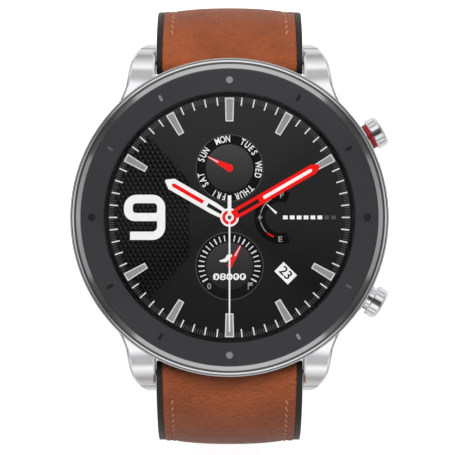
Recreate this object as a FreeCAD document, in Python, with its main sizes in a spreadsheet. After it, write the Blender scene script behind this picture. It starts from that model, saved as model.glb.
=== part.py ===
import FreeCAD, Part
import math
import os
import re
import Sketcher

# Smartwatch, millimetres. +Z leaves the dial, +Y points to 12 o'clock, +X to 3 o'clock.
# The origin is the middle of the flat rear face of the sensor window.
os.makedirs("parts", exist_ok=True)
doc = FreeCAD.newDocument("smartwatch")
V = FreeCAD.Vector

DIMENSIONS = [
    ("case_radius", 23.6, "outer flank of the case"),
    ("case_top", 10.5, "top of the polished shoulder ring"),
    ("case_bottom", 1.3, "underside of the case ring"),
    ("cavity_radius", 20.0, "inside wall of the case"),
    ("cavity_top", 9.3, "ledge the bezel ring and chassis meet"),
    ("bezel_seat_radius", 22.68, "rebate that takes the bezel ring"),
    ("bezel_radius", 22.65, "outside of the bezel ring"),
    ("bezel_top", 11.65, "flat top of the bezel insert"),
    ("insert_radius", 21.83, "outside of the bezel insert"),
    ("view_radius", 18.5, "visible opening inside the bezel"),
    ("glass_radius", 19.33, "edge of the cover glass"),
    ("glass_bottom", 10.25, "underside of the cover glass"),
    ("glass_top", 11.15, "top of the cover glass"),
    ("mark_radius", 20.3, "circle of the engraved bezel marks"),
    ("panel_radius", 18.0, "display panel"),
    ("back_radius", 20.5, "back cover"),
    ("back_bottom", 0.9, "outer face of the back cover"),
    ("back_top", 2.2, "inner face of the back cover"),
    ("window_radius", 10.8, "sensor window"),
    ("plate_bottom", 6.4, "underside of the chassis plate"),
    ("plate_top", 6.9, "top of the chassis plate"),
    ("board_top", 7.5, "top of the main board"),
    ("lug_inner", 11.15, "inner wall of a lug from the middle"),
    ("bay_face", 21.25, "flat the strap end faces"),
    ("bay_top", 5.95, "ceiling over the strap end"),
    ("bar_reach", 23.4, "spring bar from the middle"),
    ("bar_height", 3.3, "spring bar above the origin"),
    ("bar_radius", 0.9, "spring bar tube"),
    ("tip_radius", 0.45, "spring bar tip"),
    ("tip_bore", 0.5, "hole in the lug"),
    ("pusher_angle", 30.0, "pusher from 3 o'clock"),
    ("pusher_height", 6.2, "pusher axis above the origin"),
    ("cap_radius", 2.35, "pusher cap"),
    ("cap_inner", 24.5, "inner face of the pusher cap"),
    ("cap_outer", 26.35, "outer face of the pusher cap"),
    ("stem_radius", 0.9, "pusher stem"),
    ("sleeve_bore", 0.96, "bore of the pusher sleeve"),
    ("sleeve_radius", 1.5, "outside of the pusher sleeve"),
    ("strap_half", 11.0, "half width of the strap at the lugs"),
    ("strap_end_half", 10.0, "half width of the strap at the buckle"),
    ("knuckle", 1.85, "strap end round the spring bar"),
    ("seam_radius", 1.42, "leather wrapped round the spring bar, inside"),
    ("wrap_radius", 2.0, "leather wrapped round the spring bar, outside"),
    ("margin", 0.85, "rubber edge left beside the leather"),
    ("buckle_bar", 0.8, "buckle bar radius"),
    ("buckle_bore", 0.86, "running bore round the buckle bar"),
    ("buckle_half", 12.4, "half width of the buckle"),
    ("window_half", 10.35, "half width of the buckle opening"),
]
ALIASES = {name for name, size, note in DIMENSIONS}

sheet = doc.addObject("Spreadsheet::Sheet", "dims")
for row, (name, size, note) in enumerate(DIMENSIONS, 1):
    sheet.set(f"A{row}", note)
    sheet.set(f"B{row}", str(size))
    sheet.setAlias(f"B{row}", name)
doc.recompute()


def bound(text):
    """An expression in which every driving name is looked up in the sheet."""
    return re.sub(r"[a-z_]+", lambda m: "dims." + m.group() if m.group() in ALIASES else m.group(), str(text))


def size_of(text):
    """The present number of an expression."""
    return float(sheet.evalExpression(bound(text)))


def new_body(label):
    """An empty body whose label is also its file name."""
    body = doc.addObject("PartDesign::Body", label)
    body.Label = label
    return body


def new_sketch(body, role, offset=0):
    """A sketch on one of the body's own origin planes, moved along its normal."""
    sketch = body.newObject("Sketcher::SketchObject", body.Name + "_sketch")
    plane = [item for item in body.Origin.OriginFeatures if item.Role == role][0]
    sketch.AttachmentSupport = [(plane, "")]
    sketch.MapMode = "FlatFace"
    sketch.setExpression("AttachmentOffset.Base.z", bound(offset))
    return sketch


def pin_point(sketch, element, vertex, point):
    """Hold one point of a sketch at two expressions."""
    for kind, text in (("DistanceX", point[0]), ("DistanceY", point[1])):
        index = sketch.addConstraint(Sketcher.Constraint(kind, element, vertex, size_of(text)))
        sketch.setExpression(f"Constraints[{index}]", bound(text))


def draw_outline(sketch, points):
    """A closed outline; a point that starts with "via" is the middle of an arc."""
    spots = [(p[1:] if p[0] == "via" else p, p[0] == "via") for p in points]
    corners = [i for i, (spot, via) in enumerate(spots) if not via]
    flat = [V(size_of(spot[0]), size_of(spot[1]), 0) for spot, via in spots]
    ends = []
    for order, index in enumerate(corners):
        after = corners[(order + 1) % len(corners)]
        first, last = flat[index], flat[after]
        if spots[(index + 1) % len(spots)][1]:
            middle_index = (index + 1) % len(spots)
            middle = flat[middle_index]
            turn = (middle - first).cross(last - middle).z
            trio = (first, middle, last) if turn > 0 else (last, middle, first)
            element = sketch.addGeometry(Part.Arc(*trio), False)
            ends.append((element, 1, 2) if turn > 0 else (element, 2, 1))
            mark = sketch.addGeometry(Part.Point(middle), True)
            sketch.addConstraint(Sketcher.Constraint("PointOnObject", mark, 1, element))
            pin_point(sketch, mark, 1, spots[middle_index][0])
        else:
            element = sketch.addGeometry(Part.LineSegment(first, last), False)
            ends.append((element, 1, 2))
    for order, index in enumerate(corners):
        element, start, finish = ends[order]
        following, next_start, unused = ends[(order + 1) % len(ends)]
        sketch.addConstraint(Sketcher.Constraint("Coincident", element, finish, following, next_start))
        pin_point(sketch, element, start, spots[index][0])


def draw_circle(sketch, x, y, radius):
    """A circle held by its middle and its radius."""
    ring = Part.Circle(V(size_of(x), size_of(y), 0), V(0, 0, 1), size_of(radius))
    element = sketch.addGeometry(ring, False)
    pin_point(sketch, element, 3, (x, y))
    index = sketch.addConstraint(Sketcher.Constraint("Radius", element, size_of(radius)))
    sketch.setExpression(f"Constraints[{index}]", bound(radius))


def rectangle(left, right, low, high):
    return [(left, low), (right, low), (right, high), (left, high)]


def revolve(label, points, axis="V_Axis", role="XZ_Plane"):
    """A body turned from its half section."""
    body = new_body(label)
    sketch = new_sketch(body, role)
    draw_outline(sketch, points)
    turned = body.newObject("PartDesign::Revolution", body.Name + "_turned")
    turned.Profile = sketch
    turned.ReferenceAxis = (sketch, [axis])
    turned.Angle = 360
    return body


def turn_on_x(label, points):
    """A body turned about X, for pieces that are later swung to a pusher."""
    return revolve(label, points, "H_Axis", "XY_Plane")


def pad(body, sketch, length, both_ways=False):
    """Raise a sketch into solid."""
    raised = body.newObject("PartDesign::Pad", body.Name + "_pad")
    raised.Profile = sketch
    raised.setExpression("Length", bound(length))
    raised.Midplane = both_ways
    return raised


def cut(body, sketch, length, both_ways=False, backwards=False):
    """Sink a sketch into the body."""
    sunk = body.newObject("PartDesign::Pocket", body.Name + "_cut")
    sunk.Profile = sketch
    sunk.setExpression("Length", bound(length))
    sunk.Midplane = both_ways
    sunk.Reversed = backwards
    return sunk


def slab(label, points, bottom, thickness):
    """A flat piece with a straight-sided outline."""
    body = new_body(label)
    sketch = new_sketch(body, "XY_Plane", bottom)
    draw_outline(sketch, points)
    pad(body, sketch, thickness)
    return body


def discs(label, spots, radius, bottom, thickness):
    """One disc, or several alike in one piece of the list."""
    body = new_body(label)
    sketch = new_sketch(body, "XY_Plane", bottom)
    for x, y in spots:
        draw_circle(sketch, x, y, radius)
    pad(body, sketch, thickness)
    return body


def on_circle(radius, angles):
    return [(radius * math.cos(math.radians(a)), radius * math.sin(math.radians(a))) for a in angles]


def boolean(kind, label, base, tools):
    """Cut tools from, or join tools to, a base object."""
    joined = base
    for number, tool in enumerate(tools):
        step = doc.addObject("Part::" + kind, f"{label}_{kind.lower()}{number}")
        step.Base = joined
        step.Tool = tool
        joined = step
    joined.Label = label
    return joined


def cylinder(label, radius, length, place):
    tool = doc.addObject("Part::Cylinder", label)
    tool.setExpression("Radius", bound(radius))
    tool.setExpression("Height", bound(length))
    tool.Placement = place
    return tool


def coded(label, shape, place=None):
    """A piece whose curved form is worked out in code from the sheet."""
    piece = doc.addObject("Part::Feature", label)
    piece.Label = label
    piece.Shape = shape
    if place:
        piece.Placement = place
    return piece


def spin(axis, degrees, base=V(0, 0, 0)):
    return FreeCAD.Placement(base, FreeCAD.Rotation(axis, degrees))


pieces = []


def keep(*objects):
    pieces.extend(objects)


# ---------------------------------------------------------------- case and bezel
X_AXIS, Y_AXIS, Z_AXIS = V(1, 0, 0), V(0, 1, 0), V(0, 0, 1)
PUSHER_SIDES = {"upper": 1, "lower": -1}
MARK_DEPTH = 0.3
SCREW_RING = 18.3
SCREW_ANGLES = (45, 135, 225, 315)
BOARD_SCREW_ANGLES = (75, 195, 315)
BOARD_SCREW_RING = 14.5


def pusher_place(side):
    """Local X becomes the pusher axis."""
    angle = PUSHER_SIDES[side] * size_of("pusher_angle")
    return spin(Z_AXIS, angle, V(0, 0, size_of("pusher_height")))


def make_case():
    """Turned ring with a rebate at each end, four lugs, two bosses and their bores."""
    ring = revolve("case_ring", [
        (0, "case_bottom"),
        ("case_radius - 1.3", "case_bottom"),
        ("case_radius - 0.5", "case_bottom + 0.6"),
        ("case_radius", "case_bottom + 2.0"),
        ("case_radius", "case_top - 0.5"),
        ("case_radius - 0.2", "case_top - 0.3"),
        ("case_radius - 0.35", "case_top - 0.3"),
        ("case_radius - 0.4", "case_top - 0.15"),
        ("case_radius - 0.6", "case_top"),
        (0, "case_top"),
    ])
    hollow = revolve("case_hollow", [
        (0, 0), ("back_radius + 0.04", 0), ("back_radius + 0.04", "back_top + 0.2"),
        ("cavity_radius", "back_top + 0.2"), ("cavity_radius", "cavity_top"),
        ("bezel_seat_radius", "cavity_top"), ("bezel_seat_radius", 12), (0, 12)])
    bays = new_body("strap_bays")
    sketch = new_sketch(bays, "XY_Plane")
    for side in ("", "-"):
        draw_outline(sketch, rectangle("-lug_inner", "lug_inner", f"{side}bay_face", f"{side}(bay_face + 6)"))
    pad(bays, sketch, "bay_top")
    lug = new_body("lug_form")
    plan = new_sketch(lug, "XY_Plane")
    draw_outline(plan, [
        ("lug_inner", 13), ("lug_inner", 26.5), ("via", 13.65, 25.0), (14.9, 22.7),
        (15.45, 19.4), ("via", 16.2, 17.5), (18.3, 14.0), (18.3, 13),
    ])
    pad(lug, plan, "case_top")
    side_view = new_sketch(lug, "YZ_Plane")
    draw_outline(side_view, [
        (12, 9.75), (15, 9.75), ("via", 20.9, 8.55), (25.2, 5.1), ("via", 26.05, 3.1), (24.5, 1.05),
        (12, 1.6), (12, -2), (30, -2), (30, 13), (12, 13),
    ])
    cut(lug, side_view, 60, both_ways=True)
    doc.recompute()
    profiled = lug.Tip
    rounding = lug.newObject("PartDesign::Fillet", "lug_rounding")
    rounding.Base = (profiled, lug_edges(profiled.Shape, "outer"))
    rounding.Radius = 0.5
    doc.recompute()
    bevel = lug.newObject("PartDesign::Chamfer", "lug_bevel")
    bevel.Base = (rounding, lug_edges(rounding.Shape, "wall"))
    bevel.Size = 0.25
    doc.recompute()
    lugs = [lug]
    for normal in (X_AXIS, Y_AXIS):
        for source in list(lugs):
            copy = doc.addObject("Part::Mirroring", f"lug_copy{len(lugs)}")
            copy.Source = source
            copy.Normal = normal
            lugs.append(copy)
    tools = []
    bosses = []
    for side in PUSHER_SIDES:
        lay_flat = spin(Y_AXIS, 90, V(20.8, 0, 0))
        boss = cylinder("boss_" + side, 2.4, "case_radius - 20.65", pusher_place(side).multiply(lay_flat))
        bosses.append(boss)
        bore = turn_on_x("bore_" + side, [
            (18, 0), (27, 0), (27, 2.06), (22.8, 2.06), (22.8, "sleeve_radius"), (18, "sleeve_radius")])
        bore.Placement = pusher_place(side)
        tools.append(bore)
    for x_side in (-1, 1):
        for y_side in (-1, 1):
            base = V(x_side * (size_of("lug_inner") - 1), y_side * size_of("bar_reach"), size_of("bar_height"))
            name = f"tip_bore_{x_side + 1}{y_side + 1}"
            tools.append(cylinder(name, "tip_bore", 2.1, spin(Y_AXIS, 90 * x_side, base)))
    whole = boolean("Fuse", "case_whole", ring, bosses + lugs)
    keep(boolean("Cut", "case_middle", whole, [bays, hollow] + tools))


def lug_edges(shape, place):
    """Top edges of a lug: along its outer side, or along the wall that meets the strap."""
    names = []
    for number, edge in enumerate(shape.Edges, 1):
        box = edge.BoundBox
        on_wall = box.XMax < size_of("lug_inner") + 0.01
        outer = box.XMin > size_of("lug_inner") + 0.01 and box.ZMin > 3 and box.YMax > 19 and edge.Length > 0.3
        if (place == "wall" and on_wall and box.ZMax > 9 and box.YMax > 20) or (place == "outer" and outer):
            names.append(f"Edge{number}")
    return names


def make_bezel():
    """Steel carrier ring, glued dark insert with twelve engraved marks."""
    keep(revolve("bezel_ring", [
        ("view_radius", "cavity_top"), ("bezel_radius", "cavity_top"), ("bezel_radius", 10.85),
        ("insert_radius + 0.17", 11.42), ("insert_radius + 0.04", 11.42), ("insert_radius + 0.04", 10.55),
        ("glass_radius + 0.05", 10.55), ("glass_radius + 0.05", "glass_bottom - 0.2"),
        ("view_radius", "glass_bottom - 0.2"),
    ]))
    keep(revolve("bezel_adhesive", rectangle("glass_radius + 0.2", "insert_radius - 0.1", 10.55, 10.65)))
    insert = revolve("bezel_insert", [
        ("glass_radius + 0.05", 10.65), ("insert_radius", 10.65), ("insert_radius", "bezel_top - 0.08"),
        ("insert_radius - 0.08", "bezel_top"), ("view_radius + 0.2", "bezel_top"),
        ("view_radius", "bezel_top - 0.2"), ("view_radius", "glass_top"), ("glass_radius + 0.05", "glass_top"),
    ])
    dots = new_sketch(insert, "XY_Plane", "bezel_top")
    for x, y in ((0, 1), (0, -1), (1, 0), (-1, 0)):
        draw_circle(dots, f"{x} * mark_radius", f"{y} * mark_radius", 0.55)
    cut(insert, dots, MARK_DEPTH)
    doc.recompute()
    for first_angle in (30, 60):
        dash = new_sketch(insert, "XY_Plane", "bezel_top")
        dash.AttachmentOffset = spin(Z_AXIS, first_angle, V(0, 0, size_of("bezel_top")))
        inner, outer, half = "mark_radius - 0.29", "mark_radius + 0.29", 0.25
        draw_outline(dash, [
            (inner, -half), (outer, -half), ("via", f"{outer} + {half}", 0),
            (outer, half), (inner, half), ("via", f"{inner} - {half}", 0)])
        sunk = cut(insert, dash, MARK_DEPTH)
        doc.recompute()
        pattern = insert.newObject("PartDesign::PolarPattern", f"marks_{first_angle}")
        pattern.Originals = [sunk]
        pattern.Axis = (dash, ["N_Axis"])
        pattern.Angle = 360
        insert.Tip = pattern
        pattern.Occurrences = 4
        doc.recompute()
    keep(insert)


def make_glass_and_display():
    """Cover glass on its gasket, display panel on a thin metal frame, folded flex."""
    keep(discs("cover_glass", [(0, 0)], "glass_radius", "glass_bottom", "glass_top - glass_bottom"))
    keep(revolve("glass_gasket", rectangle("view_radius + 0.1", "glass_radius", "glass_bottom - 0.2", "glass_bottom")))
    keep(discs("display_panel", [(0, 0)], "panel_radius", "cavity_top", 0.8))
    frame = discs("display_frame", [(0, 0)], "panel_radius - 0.1", "cavity_top - 0.5", 0.5)
    slot = new_sketch(frame, "XY_Plane", "cavity_top")
    draw_outline(slot, rectangle(-4, 4, -15.8, -14.4))
    cut(frame, slot, 1)
    keep(frame)
    flex = new_body("display_flex")
    side_view = new_sketch(flex, "YZ_Plane")
    draw_outline(side_view, [
        (-9, "board_top"), (-9, "board_top + 0.2"), (-14.9, "board_top + 0.2"), (-14.9, "cavity_top"),
        (-15.1, "cavity_top"), (-15.1, "board_top")])
    pad(flex, side_view, 6, both_ways=True)
    keep(flex)


def make_inside():
    """Chassis, board, cell, motor and switches held between display and back cover."""
    chassis = revolve("inner_chassis", [
        (0, "plate_bottom"), (17, "plate_bottom"), (17, "back_top"), ("cavity_radius - 0.4", "back_top"),
        ("cavity_radius - 0.4", "cavity_top"), ("panel_radius + 0.3", "cavity_top"),
        ("panel_radius + 0.3", "cavity_top - 0.5"), (17, "cavity_top - 0.5"), (17, "plate_top"), (0, "plate_top")])
    holes = new_sketch(chassis, "XY_Plane", "back_top")
    for x, y in on_circle(SCREW_RING, SCREW_ANGLES):
        draw_circle(holes, x, y, 0.55)
    cut(chassis, holes, 3, backwards=True)
    pilot = new_sketch(chassis, "XY_Plane", "plate_top")
    for x, y in on_circle(BOARD_SCREW_RING, BOARD_SCREW_ANGLES):
        draw_circle(pilot, x, y, 0.5)
    cut(chassis, pilot, 1)
    tools = []
    for side in PUSHER_SIDES:
        notch = slab("notch_" + side, rectangle(17.6, 20.5, -2.2, 2.2), -2, 4.2)
        notch.Placement = pusher_place(side)
        tools.append(notch)
        switch = slab("button_switch_" + side, rectangle(17.6, 18.35, -1.6, 1.6), -1.1, 2.2)
        plunger = new_sketch(switch, "YZ_Plane", 18.35)
        draw_circle(plunger, 0, 0, 0.6)
        pad(switch, plunger, 0.17)
        switch.Placement = pusher_place(side)
        keep(switch)
    keep(boolean("Cut", "inner_chassis", chassis, tools))
    chassis.Label = "chassis_blank"
    pieces[-1].Label = "inner_chassis"
    board = discs("main_board", [(0, 0)], 16.8, "plate_top", "board_top - plate_top")
    drilled = new_sketch(board, "XY_Plane", "board_top")
    for x, y in on_circle(BOARD_SCREW_RING, BOARD_SCREW_ANGLES):
        draw_circle(drilled, x, y, 0.5)
    cut(board, drilled, 1)
    keep(board)
    keep(slab("board_shield", rectangle(-9, 8, -6, 9), "board_top", 1.1))
    screws = discs("chassis_screws", on_circle(BOARD_SCREW_RING, BOARD_SCREW_ANGLES), 0.9, "board_top", 0.4)
    shanks = new_sketch(screws, "XY_Plane", "plate_bottom + 0.1")
    for x, y in on_circle(BOARD_SCREW_RING, BOARD_SCREW_ANGLES):
        draw_circle(shanks, x, y, 0.5)
    pad(screws, shanks, "board_top - plate_bottom - 0.1")
    keep(screws)
    keep(discs("battery", [(0, 0)], 12, 3, "plate_bottom - 3"))
    keep(slab("vibration_motor", rectangle(-4.5, 4.5, 12.5, 15.6), 3.8, "plate_bottom - 3.8"))


def make_back():
    """Back cover with screws, gasket, raised sensor window and charging contacts."""
    cover = revolve("back_cover", [
        ("window_radius - 1", "back_bottom + 0.4"), ("window_radius + 0.04", "back_bottom + 0.4"),
        ("window_radius + 0.04", "back_bottom"), ("back_radius - 0.5", "back_bottom"),
        ("back_radius", "back_bottom + 0.5"), ("back_radius", "back_top"), ("window_radius - 1", "back_top")])
    for radius, depth in ((0.55, 2), (1.05, 0.6)):
        drilled = new_sketch(cover, "XY_Plane", "back_bottom")
        for x, y in on_circle(SCREW_RING, SCREW_ANGLES):
            draw_circle(drilled, x, y, radius)
        cut(cover, drilled, depth, backwards=True)
    contact_spots = [(-2.2, -14.4), (2.2, -14.4)]
    drilled = new_sketch(cover, "XY_Plane", "back_bottom")
    for x, y in contact_spots:
        draw_circle(drilled, x, y, 1.3)
    cut(cover, drilled, 2, backwards=True)
    keep(cover)
    keep(discs("charging_contacts", contact_spots, 1.3, "back_bottom - 0.05", 1.9))
    keep(discs("charging_magnets", [(-8.2, -12.2), (8.2, -12.2)], 1.9, "back_top", 1.4))
    keep(revolve("back_gasket", rectangle("cavity_radius + 0.03", "back_radius - 0.03", "back_top", "back_top + 0.2")))
    screws = discs("back_screws", on_circle(SCREW_RING, SCREW_ANGLES), 1.0, "back_bottom", 0.6)
    shanks = new_sketch(screws, "XY_Plane", "back_bottom + 0.6")
    for x, y in on_circle(SCREW_RING, SCREW_ANGLES):
        draw_circle(shanks, x, y, 0.55)
    pad(screws, shanks, 3)
    drive = new_sketch(screws, "XY_Plane", "back_bottom")
    for x, y in on_circle(SCREW_RING, SCREW_ANGLES):
        draw_outline(drive, rectangle(x - 0.7, x + 0.7, y - 0.12, y + 0.12))
    cut(screws, drive, 0.25, backwards=True)
    keep(screws)
    keep(revolve("sensor_window", [
        (0, 0), ("window_radius - 2", 0), ("window_radius - 0.8", 0.2), ("window_radius", 0.8),
        ("window_radius", "back_bottom + 0.4"), (0, "back_bottom + 0.4")]))
    keep(discs("sensor_board", [(0, 0)], "window_radius - 0.2", "back_top", 0.6))
    lights = slab("sensor_leds", rectangle(-1.4, 1.4, -1.0, 1.0), "back_bottom + 0.6", "back_top - back_bottom - 0.6")
    more = new_sketch(lights, "XY_Plane", "back_bottom + 0.6")
    for x, y in on_circle(6, (90, 210, 330)):
        draw_outline(more, rectangle(x - 1.1, x + 1.1, y - 1.1, y + 1.1))
    pad(lights, more, "back_top - back_bottom - 0.6")
    keep(lights)


# ---------------------------------------------------------------- pushers
def make_pusher(side, has_ring):
    """Cap and stem in a pressed sleeve, with seal, spring and clip."""
    place = pusher_place(side)
    neck = "stem_radius" if has_ring else 1.8
    cap = turn_on_x(side + "_pusher_cap", [
        (19.0, 0), ("cap_outer", 0), ("cap_outer", "cap_radius - 0.75"),
        ("via", "cap_outer - 0.13", "cap_radius - 0.3"), ("cap_outer - 0.5", "cap_radius"),
        ("cap_inner + 0.15", "cap_radius"), ("cap_inner", "cap_radius - 0.15"), ("cap_inner", neck),
        ("cap_inner - 0.65", neck), ("cap_inner - 0.65", "stem_radius"), (21.5, "stem_radius"), (21.5, 0.6),
        (21.0, 0.6), (21.0, "stem_radius"), (19.75, "stem_radius"), (19.75, 0.6), (19.45, 0.6),
        (19.45, "stem_radius"), (19.0, "stem_radius - 0.05"),
    ] if not has_ring else [
        (19.0, 0), ("cap_outer", 0), ("cap_outer", "cap_radius - 0.75"),
        ("via", "cap_outer - 0.13", "cap_radius - 0.3"), ("cap_outer - 0.5", "cap_radius"),
        ("cap_inner + 0.15", "cap_radius"), ("cap_inner", "cap_radius - 0.15"),
        ("cap_inner", "stem_radius"), (21.5, "stem_radius"), (21.5, 0.6),
        (21.0, 0.6), (21.0, "stem_radius"), (19.75, "stem_radius"), (19.75, 0.6), (19.45, 0.6),
        (19.45, "stem_radius"), (19.0, "stem_radius - 0.05"),
    ])
    sleeve = turn_on_x(side + "_pusher_sleeve", rectangle(20.0, 22.6, "sleeve_bore", "sleeve_radius"))
    clip = turn_on_x(side + "_pusher_clip", rectangle(19.47, 19.73, 0.6, 1.35))
    seal = revolve(side + "_pusher_seal", [
        (21.08, 0.77), ("via", 21.25, 0.60), (21.42, 0.77), ("via", 21.25, 0.94)], "H_Axis", "XY_Plane")
    moving = [cap, sleeve, clip, seal]
    if has_ring:
        moving.append(turn_on_x(side + "_pusher_ring", [
            ("cap_inner - 0.63", "stem_radius"), ("cap_inner", "stem_radius"),
            ("cap_inner", 1.97), ("cap_inner - 0.53", 1.97), ("cap_inner - 0.63", 1.87)]))
    coil_length = 23.65 - 22.6 - 0.3
    coil = coil_shape(1.28, 0.13, coil_length / 2.2, coil_length)
    along_x = spin(Y_AXIS, 90, V(22.6 + 0.15, 0, 0))
    moving.append(coded(side + "_pusher_spring", coil, place.multiply(along_x)))
    for piece in moving[:-1]:
        piece.Placement = place
    keep(*moving)


def coil_shape(radius, wire, pitch, length):
    """Round wire wound about Z."""
    path = Part.Wire(Part.makeHelix(pitch, length, radius))
    section = Part.Wire(Part.makeCircle(wire, V(radius, 0, 0), V(0, 1, 0)))
    return Part.Solid(path.makePipeShell([section], True, True))


# ---------------------------------------------------------------- strap halves
def run_of_arcs(start, heading, arcs):
    """Stations along tangent arcs: distance, point in the YZ plane and heading."""
    along = 0.0
    y, z = start
    stations = [(along, y, z, heading)]
    for radius, turn, steps in arcs:
        first = math.radians(heading)
        for step in range(1, steps + 1):
            angle = first - math.radians(turn) * step / steps
            spot_y = y + radius * (math.sin(first) - math.sin(angle))
            spot_z = z - radius * (math.cos(first) - math.cos(angle))
            stations.append((along + radius * math.radians(turn) * step / steps,
                             spot_y, spot_z, math.degrees(angle)))
        along, y, z, heading = stations[-1]
    return stations


def between(table, along):
    """Straight-line value from a short list of (distance, value) pairs."""
    for (first, low), (last, high) in zip(table, table[1:]):
        if along <= last:
            return low + (high - low) * max(0.0, along - first) / (last - first)
    return table[-1][1]


def station_point(stations, along):
    """Point and heading at a distance along the strap."""
    for number in range(len(stations) - 1):
        first, last = stations[number], stations[number + 1]
        if along <= last[0] or number == len(stations) - 2:
            part = (along - first[0]) / (last[0] - first[0])
            return tuple(first[i] + (last[i] - first[i]) * part for i in (1, 2, 3))


def band(stations, low, high, half, crown=None):
    """A strip lofted straight from one cross section to the next; the top may be crowned."""
    wires = []
    for along, y, z, heading in stations:
        angle = math.radians(heading)
        normal = V(0, -math.sin(angle), math.cos(angle))
        centre = V(0, y, z)
        side = V(between(half, along), 0, 0)
        bottom = centre + normal * between(low, along)
        top = centre + normal * between(high, along)
        edges = [Part.LineSegment(bottom - side, bottom + side).toShape(),
                 Part.LineSegment(bottom + side, top + side).toShape()]
        if crown:
            peak = top + normal * between(crown, along)
            edges.append(Part.Arc(top + side, peak, top - side).toShape())
        else:
            edges.append(Part.LineSegment(top + side, top - side).toShape())
        edges.append(Part.LineSegment(top - side, bottom - side).toShape())
        wires.append(Part.Wire(edges))
    return Part.makeLoft(wires, True, True)


def rod(radius, half_length, y, z):
    return Part.makeCylinder(radius, 2 * half_length, V(-half_length, y, z), X_AXIS)


def at_station(stations, along):
    """Placement whose Y runs along the strap and whose Z leaves its outer face."""
    y, z, heading = station_point(stations, along)
    return spin(X_AXIS, heading, V(0, y, z))


def local_box(place, x_half, y_low, y_high, z_low, z_high):
    box = Part.makeBox(2 * x_half, y_high - y_low, z_high - z_low, V(-x_half, y_low, z_low))
    box.Placement = place
    return box


BAR_POINT = (size_of("bar_reach"), size_of("bar_height"))
UPPER_RUN = run_of_arcs(BAR_POINT, -25, [(11.6, 65, 12), (204, 11.6, 10)])
LOWER_RUN = run_of_arcs(BAR_POINT, -22, [(15.6, 68, 12), (150, 11.0, 6), (26, 79, 14), (400, 2.2, 8)])
UPPER_LENGTH, LOWER_LENGTH = UPPER_RUN[-1][0], LOWER_RUN[-1][0]
HOLE_COUNT, HOLE_PITCH, HOLE_RADIUS = 8, 6.0, 1.05


def strap_pair(run, end, tail):
    """Rubber base with its side rims, leather facing, and the tray the facing lies in."""
    wide, narrow, margin = size_of("strap_half"), size_of("strap_end_half"), size_of("margin")
    inside, outside, knuckle = size_of("seam_radius"), size_of("wrap_radius"), size_of("knuckle")
    half = [(0, wide), (12, wide - 0.1), (end * 0.6, narrow + 0.2), (end - tail, narrow)]
    if tail:
        half += [(end - tail * 0.5, narrow - 0.7), (end - tail * 0.15, narrow - 3.2), (end, narrow - 6.0)]
    inner_half = [(along, value - margin) for along, value in half]
    y, z, heading = run[0][1:]

    wrapped = [(-0.3 * step, y, z, heading + 12 * step) for step in range(11, 0, -1)]
    facing = wrapped + [station for station in run if station[0] <= end - (0.8 if tail else 0)]
    seam = [(0, inside), (2, 1.3), (6, 0.45), (12, 0.1), (end, 0.0)]
    rim = [(0, knuckle), (3, 1.75), (8, 1.6), (end, 1.0)]
    base = band(run, [(0, -knuckle), (4, -1.7), (12, -1.4), (end, -1.2)], rim, half)
    leather = band(facing, seam, [(0, outside), (3, 1.9), (8, 1.75), (end, 1.15)], inner_half,
                   [(0, 0.05), (2, 0.1), (5, 0.5), (12, 0.6), (end * 0.7, 0.3), (end, 0.15)])
    tray = band(facing, seam, [(0, 3.0), (end, 3.0)], inner_half)
    return base.fuse(rod(knuckle, wide, y, z)), leather, tray


def lever_slot(run, side):
    """Opening through the rubber for the quick release lever."""
    place = at_station(run, 0)
    slot = Part.makeBox(4.4, 1.5, 2.4, V(-8.9, -0.75, -3.0))
    slot.Placement = place
    return slot


def mirrored(shape, side):
    return shape if side == "upper" else shape.mirror(V(0, 0, 0), Y_AXIS)


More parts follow.
